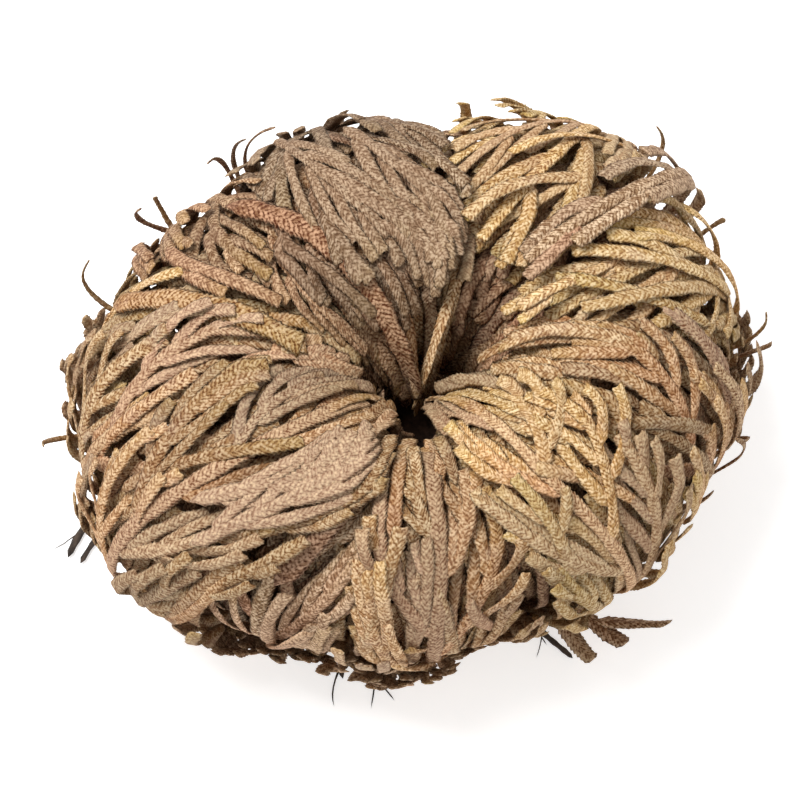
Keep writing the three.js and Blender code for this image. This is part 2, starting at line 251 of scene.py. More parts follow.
# %% [markdown]
# ## Filling the frond
#
# The solid has only the bigger shoots. On the real plant they carry sprays: twigs leave a sprig to both sides,
# lie beside it like the fingers of a hand, and end in round lobes. Many more sprays lie over the frond like
# shingles, each at its own slant, with its foot under its neighbours and its tip free. What still shows
# through is more shoots further in.
#
# Fronds overlap, and a shoot that lies under two others can't be seen. A map of the ball, one cell for each
# degree round it and each small step of the curl, counts how many shoots lie over each cell. The fronds are
# filled from the outermost shell inwards, and a shoot is added only where the map still has room for it. That
# keeps the number of faces down, and it leaves dark slits between the sprays, as a dry plant has them.

# %% A map of what is covered
CELL_ROUND = np.radians(1)
CELL_TURN = 0.02
LOWEST_TURN = -1.6  # where the map's rows begin
COLUMNS, ROWS = 360, 340
MAP_FROM, MAP_STEP = 0.05, 0.5  # a shoot is looked up from this share of its length on, in steps of so many mm
MAP_ACROSS = np.linspace(-0.8, 0.8, 5)  # and at these places across it, in half widths
HIDING_LAYERS = 2
covered = np.zeros(COLUMNS * ROWS, dtype=int)


def footprint(frond, shoot):
    """The cells of the map that a shoot lies over."""
    u = np.linspace(MAP_FROM, 1, max(4, int(shoot.length / MAP_STEP)))
    x, w, _ = along(shoot, u)
    points = place(frond, x, w, shoot.sink, shoot.over)
    rho = np.hypot(points[:, 0], points[:, 1])[:, None]
    theta = np.arctan2(points[:, 1], points[:, 0])[:, None] + MAP_ACROSS * HALF_WIDTHS[1] / rho
    column = np.floor(theta / CELL_ROUND).astype(int) % COLUMNS
    row = np.floor((frond.start + x / frond.scale - LOWEST_TURN) / CELL_TURN).astype(int)[:, None]
    return np.unique(np.clip(row, 0, ROWS - 1) * COLUMNS + column)


def is_hidden(frond, cells):
    """A shoot that the fronds further out hide for the most part is made with longer leaves."""
    return np.mean(frond.above[cells] >= HIDING_LAYERS) > 0.5


def add_where_seen(frond, shoots, shoot, layers, share=0.6):
    """Adds a shoot unless that share of it lies under so many layers. Says whether it was added."""
    cells = footprint(frond, shoot)
    seen = np.mean(covered[cells] >= layers) < share
    if seen:
        shoot.hidden = shoot.hidden or is_hidden(frond, cells)
        covered[cells] += 1
        shoots.append(shoot)
    return seen


print("cells of the map:", covered.size)

# %% Twigs, like fingers to both sides of a sprig
TWIG_STEP = 2.45  # along the sprig, first to one side, then to the other
TWIG_SHARE = 0.86  # of the sprig bears twigs
TWIGS_FROM, TWIGS_OVER = 0.06, 0.88  # from this share of its length on, over this share of it
LONGEST_TWIG, TIP_TWIG = 14, 2.2
TWIG_OPENING = (0.3, 0.54)  # radians between a sprig and its twigs
FULLNESS = (0.6, 1.0)  # how far a spray's twigs reach beside what is left of the sprig
TILT = 0.2  # a spray lies tilted: its one side is up to this share of its twigs' length higher
LIFT_SPAN = (0.1, 0.9)  # a shoot that lifts does so between these shares of its length


def sink_at(shoot, u):
    return shoot.sink - shoot.lift * smooth(*LIFT_SPAN, u)


def add_twigs(frond, shoots, sprig, draw, layers):
    """All twigs of one spray open alike, lie in one tilted plane and end on one rounded front."""
    steps = max(1, round(sprig.length * TWIG_SHARE / TWIG_STEP))
    first_side = 1 if draw() < 0.5 else -1
    tilt, opening, fullness = draw(-TILT, TILT), draw(*TWIG_OPENING), draw(*FULLNESS)
    for k in range(steps):
        u = TWIGS_FROM + TWIGS_OVER * (k + draw(0.35, 0.65)) / steps
        length = min(LONGEST_TWIG, (1 - u) * sprig.length * fullness + TIP_TWIG) * draw(0.8, 1.1)
        side = first_side * (1 if k % 2 else -1)
        twig = branch(sprig, u, side, opening * draw(0.88, 1.12), length, sink_at(sprig, u) + draw(0, 0.12))
        twig.lift = draw(-0.05, 0.2) + side * tilt * length
        twig.over, twig.spray, twig.own, twig.hidden = sprig.over, sprig.spray, sprig.own, False
        add_where_seen(frond, shoots, twig, layers)


print("twigs of a sprig 20 mm long:", round(20 * TWIG_SHARE / TWIG_STEP))

# %% Sprays that lie over the frond like shingles
SPRAY_ROOM = 38  # a frond gets one for each so many square millimetres
SPRAY_LENGTH = (12, 27)
SPRAY_FROM = 0.35  # how far the frond has curled where they begin, in radians
SPRAY_LAYERS = {"outer": 2, "main": 1, "inner": 2}  # the main fronds' sprays hardly overlap
SPRAY_SHARE = 0.7  # share of a spray's sprig that may be covered so
SPRAY_SLANT, SPRAY_BEND = 0.52, 0.3  # radians to each side
SPRAY_OVER = (0.95, 1.4)  # a spray may reach a little out of its frond's strip
TIP_CALM, CALM_SPAN = 0.7, (0.75, 1)  # near the frond's tip the sprays slant less to one side
FOOT_SINK, FOOT_RISE, TIP_RISE = 0.6, (0, 0.9), (0.35, 1.05)  # a deep frond's sprays rise to the skin
TIP_PLAY = (-1.2, 1.3)  # millimetres by which a tip lies lower or higher than that
RIM_LIFT, RIM_BOW = 4.5, 48  # by the hollow they stay straight, and their tips stand off by up to this much
LIFT_TURNS = (2.2, 2.9)
SKIN = 2.7 * SHELL_STEP  # the tips of the sprays lie about this far inside the outermost shell


def add_sprays(frond, shoots, draw):
    if frond.bare_forks:
        return
    layers = SPRAY_LAYERS[frond.kind]
    for sprig in shoots[1:]:
        if sprig.order == 1 and not sprig.own:
            add_twigs(frond, shoots, sprig, draw, layers)
    begin = max(3, (SPRAY_FROM - frond.start) * frond.scale)
    count = int((frond.length - begin) * 2 * frond.half_width / SPRAY_ROOM)
    rise = max(0, frond.depth - SKIN) if frond.kind == "main" else 0
    for k in range(count):
        x = begin + (frond.length - 5 - begin) * (k + draw()) / count
        w = draw(-1, 1) * frond.half_width
        calm = 1 - TIP_CALM * smooth(*CALM_SPAN, x / frond.length)
        slant = frond.sway * calm + draw(-SPRAY_SLANT, SPRAY_SLANT)
        length = min(draw(*SPRAY_LENGTH), frond.length - x + 2)
        bend = draw(-SPRAY_BEND, SPRAY_BEND)
        line = dict(order=1, x=x, w=w, length=length, head=slant - bend, tail=slant + bend)
        foot = FOOT_SINK - rise * draw(*FOOT_RISE)
        straight = draw(0.2, 1) * min(RIM_LIFT, length**2 / RIM_BOW) * frond.stiff
        straight *= smooth(*LIFT_TURNS, frond.start + x / frond.scale)
        tip = rise * draw(*TIP_RISE) + draw(*TIP_PLAY) + straight
        over = draw(*SPRAY_OVER)
        sprig = SimpleNamespace(**line, sink=foot, lift=foot + tip, over=over, spray=draw())
        sprig.hidden, sprig.own = False, {}
        if add_where_seen(frond, shoots, sprig, layers, SPRAY_SHARE):
            add_twigs(frond, shoots, sprig, draw, layers)


print("tips of the sprays lie", round(SKIN, 2), "mm inside the outermost shell")

# %% [markdown]
# ## What stands out on this plant
#
# Some sprays and stems catch the eye, so they are given one by one: a pale grey spray by the hollow, long grey
# strips that lie across the upper left, reddish stems that run into the hollow, and thin bare stems that have
# lost their leaves and curl off the ball. Each has looks of its own, which `dress` puts over those that chance
# gives.

# %% Sprays and stems that stand out
ALWAYS = 99  # more layers than there can be, so nothing keeps a twig from being added
PALE = dict(tone=0.55, warm=0.15, dusty=1.0, net=0.1)
LONG_GREY = dict(tone=0.4, warm=0.2, dusty=0.5)
RED_STEM = dict(tone=0.22, warm=0.75, dusty=0.1, net=1.0, stout=1.4)
BARE_STEM = dict(tone=0.0, warm=0.55, dusty=0.0, net=1.0, ripe=0.0, stout=0.32)
SHOWN = [  # frond, x, w, length, head, tail, rise, with twigs, looks
    ("frond_main_11", 64, 6.0, 25, 0.3, 0.1, 2.6, True, PALE),
    ("frond_main_11", 68, 1.0, 17, 0.5, 0.3, 2.2, True, PALE),
    ("frond_main_06", 64, 3.0, 29, -0.45, -0.95, 2.2, True, LONG_GREY),
    ("frond_main_06", 60, -4.0, 28, -0.35, -0.75, 2.2, True, LONG_GREY),
    ("frond_main_06", 55, 5.0, 25, -0.2, -0.5, 2.0, True, LONG_GREY),
    ("frond_main_07", 60, 1.5, 36, -0.55, 0.15, 4.2, False, RED_STEM),
    ("frond_main_09", 52, -4.0, 26, 0.1, 0.3, 2.4, False, RED_STEM),
    ("frond_main_12", 50, 3.0, 20, 0.25, 0.1, 4.0, False, RED_STEM),
    ("frond_main_06", 38, 9.0, 15, 0.4, -0.5, 2.7, False, BARE_STEM),
    ("frond_main_07", 34, -3.0, 17, -0.6, 0.7, 4.5, False, BARE_STEM),
    ("frond_main_07", 39, 4.0, 12, 0.9, -0.3, 4.7, False, BARE_STEM),
    ("frond_main_07", 40, -8.0, 13, 0.3, -0.9, 4.4, False, BARE_STEM),
    ("frond_main_08", 28, 2.0, 14, 0.7, -0.6, 8.4, False, BARE_STEM),
    ("frond_main_08", 33, -5.0, 11, -0.8, 0.4, 8.5, False, BARE_STEM),
    ("frond_main_09", 33, 6.0, 13, 0.4, 0.7, 6.6, False, BARE_STEM),
    ("frond_main_04", 35, -9.0, 14, -0.7, 0.6, 4.4, False, BARE_STEM),
    ("frond_main_02", 30, 6.0, 15, 0.7, -0.6, 4.4, False, BARE_STEM),
    ("frond_main_02", 34, -4.0, 12, -0.8, 0.3, 4.2, False, BARE_STEM),
    ("frond_main_01", 26, 5.0, 14, 0.7, -0.5, 6.3, False, BARE_STEM),
    ("frond_main_01", 31, -3.0, 11, 0.2, -0.9, 6.2, False, BARE_STEM),
    ("frond_main_17", 35, 2.0, 13, 0.7, -0.3, 3.0, False, BARE_STEM),
]


def add_shown(frond, shoots, draw):
    for name, x, w, length, head, tail, rise, leafy, look in SHOWN:
        if name == frond.name:
            line = dict(order=1, x=x, w=w, length=length, head=head, tail=tail)
            over = STRAY if look is BARE_STEM else SPRAY_OVER[1]
            sprig = SimpleNamespace(**line, sink=-0.5 * rise, lift=0.5 * rise, over=over, spray=draw())
            sprig.hidden, sprig.own = False, look
            covered[footprint(frond, sprig)] += 1
            shoots.append(sprig)
            if leafy:
                add_twigs(frond, shoots, sprig, draw, ALWAYS)


print("given one by one:", len(SHOWN))

# %% Shoots further in, in lanes side by side
LANE = 1.9  # from one lane to the next
LANE_SHARE = 0.93  # of the frond's width is filled
LANE_SHOOTS = (7.5, 13)  # shortest and longest
LANE_STEP = 6.5  # from one shoot's foot to the next in its lane
LANE_SWAY = 0.5  # they slant this share of what the frond's sprays do
LANE_SINK = (1.5, 2.7)  # they lie this far under the frond's own shoots
LANE_LAYERS = ((0, 4), (2, 2), (np.inf, 1))  # up to this turn: left out where so many layers lie over it
LANE_COVER = 0.85  # share of a shoot that has to lie under them for that
SHADED_FROM = 1.2  # from this turn on the main fronds' sprays shade them
# lanes in that shade get a darker tone, less dust and stronger shade in their gaps: painted shade
PAINTED_SHADE_UNDER_SPRAYS = dict(tone=0.25, dusty=0.1, net=0.9)
FILL_FROM = {"outer": -1.45, "main": 0.25, "inner": -1.5}  # curl where a frond's fill begins, in radians


def add_lanes(frond, shoots, draw):
    if frond.bare_forks:
        return
    begin = max(0, (FILL_FROM[frond.kind] - frond.start) * frond.scale)
    lanes = int(LANE_SHARE * frond.half_width / LANE)
    for lane in sorted(range(-lanes, lanes + 1), key=abs):
        side = np.sign(lane) or (1 if draw() < 0.5 else -1)
        kept = (abs(lane) - 0.7) * LANE * side
        aside = kept / (1 - abs(kept / frond.half_width) ** HUG) ** (1 / HUG)
        x = begin + draw(0, 0.3 * LANE_STEP) * (begin > 0)
        while x < frond.length - 4:
            length = min(draw(*LANE_SHOOTS), frond.length - x + 1.5)
            slant = LANE_SWAY * frond.sway + draw(-0.25, 0.25)
            line = dict(order=1, x=x, w=aside + draw(-0.6, 0.6) - wander(frond, x), length=length)
            turned = dict(head=slant + side * draw(0, 0.4), tail=slant - side * draw(0, 0.2), over=1.0)
            shoot = SimpleNamespace(**line, **turned, sink=draw(*LANE_SINK), lift=draw(0, 0.4))
            turn = frond.start + x / frond.scale
            shaded = frond.kind == "main" and turn > SHADED_FROM
            shoot.hidden, shoot.spray = frond.kind != "outer", draw()
            shoot.own = PAINTED_SHADE_UNDER_SPRAYS if shaded else {}
            layers = next(layers for end, layers in LANE_LAYERS if turn < end)
            add_where_seen(frond, shoots, shoot, layers, LANE_COVER)
            x += LANE_STEP * draw(0.75, 1.25)


print("a frond 27 mm wide has", 2 * int(LANE_SHARE * 13.5 / LANE) + 1, "lanes")

# %% [markdown]
# ## One leafy shoot
#
# A shoot of this clubmoss is a flat braid about 2 mm wide: tiny leaves lie on it like roof tiles, one pair
# every 0.6 mm, in rows that run forwards from the middle line to both edges. It could be a plain ribbon with
# a picture of leaves on it, but then it would look smooth from the side, and its edge would be a straight cut.
# So each pair of leaves is a low step in the mesh: going along the shoot, its surface rises slowly under a
# leaf and drops at the leaf's end, and the leaves' ends make the edge uneven. The finer grain of the braid is
# left to the material. Shoots that others hide get steps twice as long.
#
# The mesh starts as a flat grid from `bmesh.ops.create_grid`, one for each shoot, all in one bmesh. Each grid
# is made at a height that is its own number, which tells afterwards which vertex belongs to which shoot. Then
# all vertices are moved at once: the grid's columns go round the shoot and its rows go along it. The first
# and last row shrink to a point, and merging the doubles closes the seam and both ends.

# %% The section of a shoot and its leaves
LEAF_PITCH = 0.62  # from one pair of leaves to the next
LEAF_CREST = 0.7  # share of a leaf's length at which it is highest
LEAF_RAKE = 0.75  # at the edge a row is this much of the half width nearer the tip
LEAF_STAGGER = 0.25  # leaves left and right of the middle line take turns: each lies this share off it
SECTION = np.array([(-1, 0.0), (-0.62, 0.6), (0.62, 0.6), (1, 0.0), (0, -0.6)])  # side, height
AROUND = len(SECTION)
THICKNESS = 0.4  # millimetres for each unit of the section's height, where a shoot is widest
THINNEST = 0.4  # share of that which is left where it is narrowest
RELIEF = 0.035  # height of a leaf's end above the next leaf's foot
RAGGED = 0.9  # how unlike each other the leaves are
TOOTH = 0.13  # a leaf's end sticks out of the edge by this share of the half width
WAVE = 0.1  # and over longer stretches the width changes by this share
BLUNT = 1.0  # length of a shoot's round tip
BARE_HALF = 0.72  # half the width of a stem where it is bare
BARE_ENDS = (0.6, 1.3)  # the leaves grow in between these shares of the bare length
NEAR_ALONG, NEAR_ASIDE = 0.02, 0.3  # a point's neighbours this far off tell how the shell lies there
ROLLED_BY = 0.3  # a shoot has turned into its tilt at this share of its length


def half_width(frond, shoot, distance):
    base = HALF_WIDTHS[min(shoot.order, 2)] * shoot.stout
    if shoot.order:
        return base * np.ones_like(distance)
    low, high = BARE_ENDS
    return BARE_HALF + (base - BARE_HALF) * smooth(frond.bare * low, frond.bare * high, distance)


def shoot_rows(frond, shoot, chance):
    """The vertices of a shoot as rows x AROUND x 3, with the leaf count of each row."""
    run = 2 if shoot.hidden else 1
    leaves = max(3, int(shoot.length / (LEAF_PITCH * run) + 0.5))
    row = np.arange(2 * leaves + 1)
    phase = row // 2 + LEAF_CREST * (row % 2)
    u = phase / leaves
    distance = u * shoot.length

    def at(v, aside=0.0):
        x, w, _ = along(shoot, v)
        return place(frond, x, w + aside, sink_at(shoot, v), shoot.over)

    middle = at(u)
    ahead = at(np.minimum(1, u + NEAR_ALONG)) - at(np.maximum(0, u - NEAR_ALONG))
    ahead /= np.linalg.norm(ahead, axis=1, keepdims=True)
    across = at(u, NEAR_ASIDE) - at(u, -NEAR_ASIDE)
    across -= ahead * np.sum(across * ahead, axis=1, keepdims=True)
    across /= np.linalg.norm(across, axis=1, keepdims=True)
    normal = np.cross(across, ahead)
    tilt = shoot.roll * smooth(0, ROLLED_BY, u)[:, None]
    cos, sin = np.cos(tilt), np.sin(tilt)
    across, normal = across * cos + normal * sin, normal * cos - across * sin

    left = shoot.length - distance
    ending = np.sqrt(np.clip(1 - np.clip(1 - left / BLUNT, 0, 1) ** 2, 0, 1))
    foot = smooth(-0.05, 0.6 if shoot.order else 0.1, distance / 2)
    wave = 1 + WAVE * np.sin(distance * chance.uniform(0.7, 1.3) + chance.uniform(0, 6.3))
    size = half_width(frond, shoot, distance) * ending * foot * wave
    size[0] = size[-1] = 0
    side, height = SECTION[:, 0], SECTION[:, 1]
    crest = (row % 2)[:, None] * (1 + RAGGED * chance.uniform(-1, 1, (len(row), AROUND)))
    reach = size[:, None] * side * (1 + TOOTH * crest * np.abs(side))
    bulge = THICKNESS * (THINNEST + (1 - THINNEST) * size / HALF_WIDTHS[0])
    proud = bulge[:, None] * height * (size > 0)[:, None]
    proud += RELIEF * crest * ending[:, None] * np.clip(height, 0, 1)
    rake = LEAF_RAKE * size[:, None] * np.abs(side) + LEAF_STAGGER * LEAF_PITCH * side * ending[:, None]
    points = middle[:, None] + across[:, None] * reach[..., None] + normal[:, None] * proud[..., None]
    points += ahead[:, None] * rake[..., None]
    points[0], points[-1] = middle[0], middle[-1]
    return points, phase * run


print("leaf pairs on a shoot 20 mm long:", int(20 / LEAF_PITCH + 0.5))


# %% Roll tubes out of flat grids
def rolled(name, tubes):
    """One mesh of many tubes, each rows x columns x 3, and each vertex's tube, row and column."""
    around = tubes[0].shape[1]
    bm = bmesh.new()
    for index, rows in enumerate(tubes):
        grid = {"x_segments": around, "y_segments": len(rows) - 1, "size": 1}
        bmesh.ops.create_grid(bm, **grid, matrix=Matrix.Translation((0, 0, index)))
    mesh = bpy.data.meshes.new(name)
    bm.to_mesh(mesh)
    bm.free()
    flat = np.empty(len(mesh.vertices) * 3)
    mesh.vertices.foreach_get("co", flat)
    flat = flat.reshape(-1, 3)
    tube = np.rint(flat[:, 2]).astype(int)
    count = np.array([len(rows) for rows in tubes])
    first = np.concatenate([[0], np.cumsum(count)[:-1]])
    column = np.rint((flat[:, 0] + 1) / 2 * around).astype(int) % around
    row = first[tube] + np.rint((flat[:, 1] + 1) / 2 * (count[tube] - 1)).astype(int)
    mesh.vertices.foreach_set("co", (np.concatenate(tubes)[row, column] * MM).ravel())
    return mesh, tube, row, column


def close_up(mesh):
    """Merges the seams and ends of the tubes, and turns all faces outwards."""
    bm = bmesh.new()
    bm.from_mesh(mesh)
    bmesh.ops.remove_doubles(bm, verts=bm.verts, dist=1e-7)
    bmesh.ops.recalc_face_normals(bm, faces=bm.faces)
    for face in bm.faces:
        face.smooth = True
    bm.to_mesh(mesh)
    bm.free()
    return mesh


def write_attribute(mesh, name, values):
    layer = mesh.attributes.new(name, "FLOAT_VECTOR", "POINT")
    layer.data.foreach_set("vector", np.ascontiguousarray(values, dtype=np.float32).ravel())


def leafy_mesh(name, frond, shoots):
    chance = np.random.default_rng(frond.seed)
    rows = [shoot_rows(frond, shoot, chance) for shoot in shoots]
    mesh, shoot, row, column = rolled(name, [points for points, _ in rows])
    phase = np.concatenate([phase for _, phase in rows])[row]
    tip = phase / np.array([phase[-1] for _, phase in rows])[shoot]
    look = np.array([(s.tone, s.warm, s.ripe) for s in shoots])[shoot]
    look[:, 2] *= smooth(0.35, 1, tip)
    write_attribute(mesh, "leaf", np.stack([phase, SECTION[column, 0], SECTION[column, 1] < 0], -1))
    write_attribute(mesh, "look", look)
    net, dusty = np.array([(s.net, s.dusty) for s in shoots])[shoot].T
    write_attribute(mesh, "net", np.stack([net, tip, dusty], -1))
    return close_up(mesh)


print("vertices round a shoot:", AROUND)

# %% [markdown]
# ## Materials
#
# A flat colour would turn the plant into plastic. Every leafy material reads what the mesh carries: where a
# point lies on its leaf and whether on the shoot's back (`leaf`), how light, warm and ripe its shoot is
# (`look`), and how strong the painted shade in the gaps between the leaves is, how near the shoot's tip the
# point lies and how dusty the shoot is (`net`). A leaf is dark at its foot, which is painted shade where the
# next one lies over it, and pale at its end, partly its own dry edge and partly painted highlight. The grain of
# tiny leaves gets a painted highlight on each and painted shade between them, and the shoot's back gets painted
# shade. Noise on Object coordinates adds dust, scurf and larger weathered patches.

# %% Small helpers for node trees
def linear(code):
    """A colour given as 0xRRGGBB, in the linear values that Blender's shaders take."""
    channels = np.array([(code >> 16) & 255, (code >> 8) & 255, code & 255]) / 255
    return (*np.where(channels <= 0.04045, channels / 12.92, ((channels + 0.055) / 1.055) ** 2.4), 1)


class Tree:
    """A material's node tree, with a short call for each kind of node used here."""

    def __init__(self, name):
        self.material = bpy.data.materials.new(name)
        self.material.use_nodes = True
        self.nodes = self.material.node_tree.nodes
        self.links = self.material.node_tree.links
        self.shader = self.nodes["Principled BSDF"]

    def feed(self, node, inputs):
        for key, value in inputs.items():
            if isinstance(value, bpy.types.NodeSocket):
                self.links.new(value, node.inputs[key])
            else:
                node.inputs[key].default_value = value
        return node

    def add(self, kind, inputs=None, **settings):
        node = self.nodes.new("ShaderNode" + kind)
        for key, value in settings.items():
            setattr(node, key, value)
        return self.feed(node, inputs or {})

    def math(self, operation, a, b=0.0):
        return self.add("Math", {0: a, 1: b}, operation=operation).outputs[0]

    def times(self, a, b):
        return self.math("MULTIPLY", a, b)

    def plus(self, a, b):
        return self.math("ADD", a, b)

    def mix(self, factor, a, b, blend="MIX"):
        node = self.add("Mix", data_type="RGBA", blend_type=blend)
        self.feed(node, {"Factor": factor})
        for socket, value in ((node.inputs[6], a), (node.inputs[7], b)):
            if isinstance(value, bpy.types.NodeSocket):
                self.links.new(value, socket)
            else:
                socket.default_value = value
        return node.outputs[2]

    def spread(self, value, low, high, to_low=0.0, to_high=1.0):
        inputs = {"Value": value, "From Min": low, "From Max": high, "To Min": to_low, "To Max": to_high}
        return self.add("MapRange", inputs).outputs[0]

    def here(self):
        return self.add("TexCoord").outputs["Object"]

    def noise(self, scale, detail=3.0, rough=0.55, at=None):
        at = self.here() if at is None else at
        inputs = {"Vector": at, "Scale": scale, "Detail": detail, "Roughness": rough}
        return self.add("TexNoise", inputs).outputs["Fac"]

    def carried(self, name):
        vector = self.add("Attribute", attribute_name=name).outputs["Vector"]
        return self.add("SeparateXYZ", {"Vector": vector}).outputs

    def bump(self, height, strength, distance):
        return self.add("Bump", {"Height": height, "Strength": strength, "Distance": distance}).outputs[0]


print("the palest leaf edge, linear:", [round(float(v), 3) for v in linear(0xE8D0A8)])

# %% Leafy materials
SCURF, PATCH, GRAIN = 3600.0, 150.0, 1900.0  # scales of the patterns, for an object in metres
SLANT = -1.5  # from the middle line to the edge, the rows of leaves run forwards by so many leaves
OFFSET = 0.5  # and on one side they lie half a leaf further on, so that they take turns


def braid(tree, phase, side, scurf):
    """Numbers the leaves and gives each a saw: it rises from the leaf's foot and falls off at its end."""
    aside = tree.plus(
        tree.times(tree.math("ABSOLUTE", side), SLANT),
        tree.times(tree.math("GREATER_THAN", side), OFFSET),
    )
    shifted = tree.plus(tree.plus(phase, aside), tree.spread(scurf, 0.3, 0.7, -0.3, 0.3))
    saw = tree.math("FRACT", shifted)
    crest = tree.times(tree.spread(saw, 0.02, 0.55), tree.spread(saw, 0.8, 1.0, 1.0, 0.0))
    number = tree.plus(tree.math("FLOOR", shifted), tree.times(tree.math("SIGN", side), 0.37))
    return crest, number


def tint(tree, tone, warm):
    """A multiplier for the colour: tone makes all lighter or darker, warm turns it to red-brown."""
    level = tree.spread(tone, 0.0, 1.0, 0.62, 1.22)
    green = tree.times(level, tree.spread(warm, 0.0, 1.0, 0.99, 0.77))
    blue = tree.times(level, tree.spread(warm, 0.0, 1.0, 0.95, 0.7))
    return tree.add("CombineColor", {"Red": level, "Green": green, "Blue": blue}).outputs[0]


def leafy_material(name, pale_and_highlight, body, gap_shade, dust, ripe):
    """The leaves' colours, in order: a leaf's pale end, partly its dry edge and partly painted highlight; its
    face; the painted shade at its foot, between its grains and on the shoot's back; dust, which lies in patches;
    ripe, at the tips.
    """
    tree = Tree(name)
    pale_and_highlight, body, gap_shade, dust, ripe = (linear(code) for code in (pale_and_highlight, body, gap_shade, dust, ripe))
    phase, side, back = tree.carried("leaf")
    tone, warm, ripeness = tree.carried("look")
    net, tip, dusty = tree.carried("net")
    scurf = tree.noise(SCURF, 2.0, 0.7)
    patch = tree.noise(PATCH, 4.0, 0.65)
    cells = tree.add("TexVoronoi", {"Vector": tree.here(), "Scale": GRAIN, "Randomness": 1.0})
    grain = tree.spread(cells.outputs["Distance"], 0.2, 0.75, 1.0, 0.0)
    crest, number = braid(tree, phase, side, scurf)
    one_leaf = tree.plus(number, tree.times(tone, 917.0))
    by_leaf = tree.add("TexWhiteNoise", {"W": one_leaf}, noise_dimensions="1D").outputs["Value"]
    scale = tree.plus(tree.times(crest, 0.5), tree.times(grain, 0.5))

    # the raised end of each leaf and the middle of each grain take the pale colour: partly the leaf's own dry
    # edge, partly painted highlight
    lit = tree.times(scale, tree.spread(by_leaf, 0.0, 1.0, 0.6, 1.2))
    face = tree.mix(tree.spread(lit, 0.35, 0.9), body, pale_and_highlight)
    face = tree.mix(tree.times(ripeness, tree.spread(tip, 0.3, 1.0, 0.0, 0.7)), face, ripe)
    dusted = tree.math("MAXIMUM", tree.times(dusty, 0.8), tree.spread(patch, 0.52, 0.7, 0.0, 0.7))
    face = tree.mix(dusted, face, dust)
    # painted highlight on the middle of each grain of tiny leaves
    face = tree.mix(tree.spread(grain, 0.6, 0.95, 0.0, 0.55), face, pale_and_highlight)
    # painted shade: dark at each leaf's foot, under the end of the leaf before it, and between the grains, the
    # more so where net is high
    shade = tree.spread(scale, 0.1, 0.55, 1.0, 0.0)
    shade = tree.times(shade, tree.spread(net, 0.0, 1.0, 0.6, 1.0))
    colour = tree.mix(shade, face, gap_shade)
    reddened = tree.times(warm, tree.spread(tip, 0.1, 0.9, 1.0, 0.35))
    colour = tree.mix(1.0, colour, tint(tree, tone, reddened), "MULTIPLY")
    # painted shade on the shoot's back
    colour = tree.mix(tree.times(back, 0.25), colour, gap_shade)

    normal = tree.bump(tree.plus(tree.times(crest, 0.6), grain), 0.6, 0.13 * MM)
    roughness = tree.spread(scurf, 0.3, 0.7, 0.75, 0.95)
    tree.feed(tree.shader, {"Base Color": colour, "Roughness": roughness, "Normal": normal})
    tree.shader.inputs["Specular IOR Level"].default_value = 0.2
    return tree.material


LEAFY = {
    "grey": leafy_material("dead_grey", 0xCDB499, 0x886A4E, 0x4A260A, 0xA58B72, 0xB39A6E),
    "tan": leafy_material("dry_tan", 0xE0C5A1, 0xA98257, 0x602F0C, 0xB69B84, 0xCBAB6C),
    "straw": leafy_material("dry_straw", 0xE8D0A8, 0xB9945D, 0x6A3A0E, 0xBEA287, 0xD3B76C),
    "russet": leafy_material("dry_russet", 0xD8B796, 0x92704F, 0x58250B, 0xA7876F, 0xBD9A5C),
}
print("leafy materials:", list(LEAFY))

# %% [markdown]
# ## The four kinds of frond
#
# The outer fronds are short and lie round the foot, the main ones curl up and in over the top, the inner ones
# lie behind them, and the small heart fronds stand in the middle. The table of the main fronds gives, for
# each, where it stands round the plant, which shell it keeps to, how far it has curled, how wide it opens,
# which way it sweeps and what it is made of. `light` says how light its leaves are next to its neighbours',
# because each frond dried in its own way, and `sway` to which side its sprays slant. The outer fronds and the
# main frond at 232 degrees lie partly in the shade of the ball, and their `light` is raised to make up for it:
# painted light.

# %% Fronds, as the imported model has them
KINDS = {
    "outer": dict(pitch=5.4, sprig_length=14, bare=8, half_width=8.5, forked=True),
    "main": dict(pitch=6.8, sprig_length=24, bare=15, half_width=13.5, forked=True),
    "inner": dict(pitch=12, sprig_length=20, bare=18, half_width=11, forked=False),
}
STRIP_SHARE = 0.85  # half a frond's strip is at most this share of its spread, measured at the outline
SPRIG_LEAST = 0.3  # a narrow frond has shorter sprigs, from this share upwards
BARE_FORKS_BELOW, PINCHED_BELOW = 12, 10  # spread in degrees


def frond_of(kind, index, azimuth, shell, reach, spread, sweep, material, light, sway=0.0, flare=0.0):
    base = KINDS[kind]
    theta = np.radians(azimuth)
    depth = shell * SHELL_STEP
    core = CORE_SHARE * outline(theta)
    outward = outline(theta) - core - depth
    start = (CROWN_RADIUS + SEAT_GAP - core) / outward
    scale = (outward + HALF_HEIGHT - depth) / 2
    half = min(base["half_width"], STRIP_SHARE * np.radians(spread) * outline(theta))
    sprigs = base["sprig_length"] * (SPRIG_LEAST + (1 - SPRIG_LEAST) * half / base["half_width"])
    shape = dict(base, half_width=half, sprig_length=sprigs)
    return SimpleNamespace(
        **shape,
        azimuth=theta,
        depth=depth,
        start=start,
        scale=scale,
        length=(np.radians(reach) - start) * scale,
        kind=kind,
        name=f"frond_{kind}_{index + 1:02d}",
        seed=100 * list(KINDS).index(kind) + index + 1,
        spread=np.radians(spread),
        sweep=sweep,
        sway=sway,
        flare=flare,
        swells=shell > 1,
        upright=False,
        bare_forks=spread < BARE_FORKS_BELOW,
        pinch=0.5 if spread < PINCHED_BELOW else 1.0,
        stiff=0.6 + 0.4 * np.sin(theta),  # sprays stand up more at the back
        material=material,
        light=light,
    )


